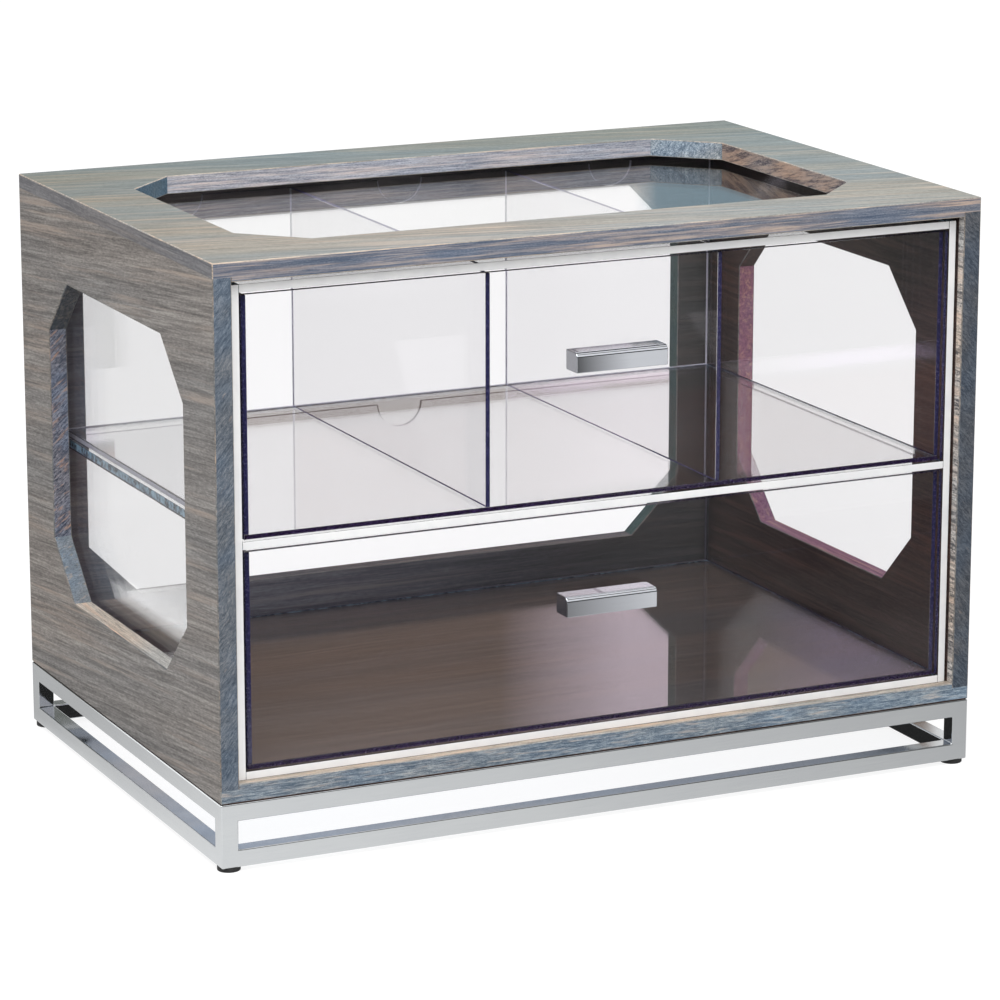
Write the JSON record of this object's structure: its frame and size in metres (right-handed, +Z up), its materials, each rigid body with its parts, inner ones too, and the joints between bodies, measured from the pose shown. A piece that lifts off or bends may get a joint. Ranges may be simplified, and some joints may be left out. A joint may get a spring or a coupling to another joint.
{
  "type": "countertop bread display bin",
  "caption": "Countertop bread bin: grey oak casing with clipped-corner windows, clear liner and pull-out drawers with chrome bar handles, on a square-tube stand.",
  "frame": {"origin": "on the ground, under the middle of the bounding box, drawer handles included", "axes": "+X to the right as seen from the front, -Y towards the front, where the drawers pull out, +Z up"},
  "size_m": [0.52, 0.3504, 0.373],
  "materials": {
    "grey_oak": "grey-washed oak, fine open grain, matt",
    "beech_dowel": "plain beech",
    "liner_acrylic": "clear cast acrylic, polished, with bright white front edges",
    "drawer_acrylic": "clear cast acrylic, polished, violet at its cut edges",
    "chrome": "bright chrome plate",
    "steel_screw": "zinc-plated steel",
    "foot_rubber": "black rubber, matt"
  },
  "bodies": {
    "casing": {"back_dowels": "beech_dowel", "back_panel": "grey_oak", "bottom_panel": "grey_oak", "casing_dowels": "beech_dowel", "foot_back_left": "foot_rubber", "foot_back_right": "foot_rubber", "foot_front_left": "foot_rubber", "foot_front_right": "foot_rubber", "left_side_panel": "grey_oak", "liner_back_sheet": "liner_acrylic", "liner_floor": "liner_acrylic", "liner_left_wall": "liner_acrylic", "liner_right_wall": "liner_acrylic", "liner_shelf": "liner_acrylic", "liner_top": "liner_acrylic", "right_side_panel": "grey_oak", "stand_back_left_post": "chrome", "stand_back_left_tab": "chrome", "stand_back_right_post": "chrome", "stand_back_right_tab": "chrome", "stand_front_left_post": "chrome", "stand_front_left_tab": "chrome", "stand_front_right_post": "chrome", "stand_front_right_tab": "chrome", "stand_lower_back_rail": "chrome", "stand_lower_front_rail": "chrome", "stand_lower_left_rail": "chrome", "stand_lower_right_rail": "chrome", "stand_screws": "steel_screw", "stand_upper_back_rail": "chrome", "stand_upper_front_rail": "chrome", "stand_upper_left_rail": "chrome", "stand_upper_right_rail": "chrome", "top_panel": "grey_oak"},
    "upper_drawer": {"upper_drawer_back_wall": "drawer_acrylic", "upper_drawer_divider_1": "drawer_acrylic", "upper_drawer_divider_2": "drawer_acrylic", "upper_drawer_floor": "drawer_acrylic", "upper_drawer_left_wall": "drawer_acrylic", "upper_drawer_right_wall": "drawer_acrylic", "upper_front_pane": "drawer_acrylic", "upper_handle": "chrome", "upper_handle_screws": "steel_screw"},
    "lower_drawer": {"lower_drawer_back_wall": "drawer_acrylic", "lower_drawer_floor": "drawer_acrylic", "lower_drawer_left_wall": "drawer_acrylic", "lower_drawer_right_wall": "drawer_acrylic", "lower_front_pane": "drawer_acrylic", "lower_handle": "chrome", "lower_handle_screws": "steel_screw"}
  },
  "joints": [
    {"name": "upper_drawer_slide", "type": "slide", "parent": "casing", "child": "upper_drawer", "axis": [0, -1, 0], "range_m": [0, 0.25]},
    {"name": "lower_drawer_slide", "type": "slide", "parent": "casing", "child": "lower_drawer", "axis": [0, -1, 0], "range_m": [0, 0.25]}
  ]
}
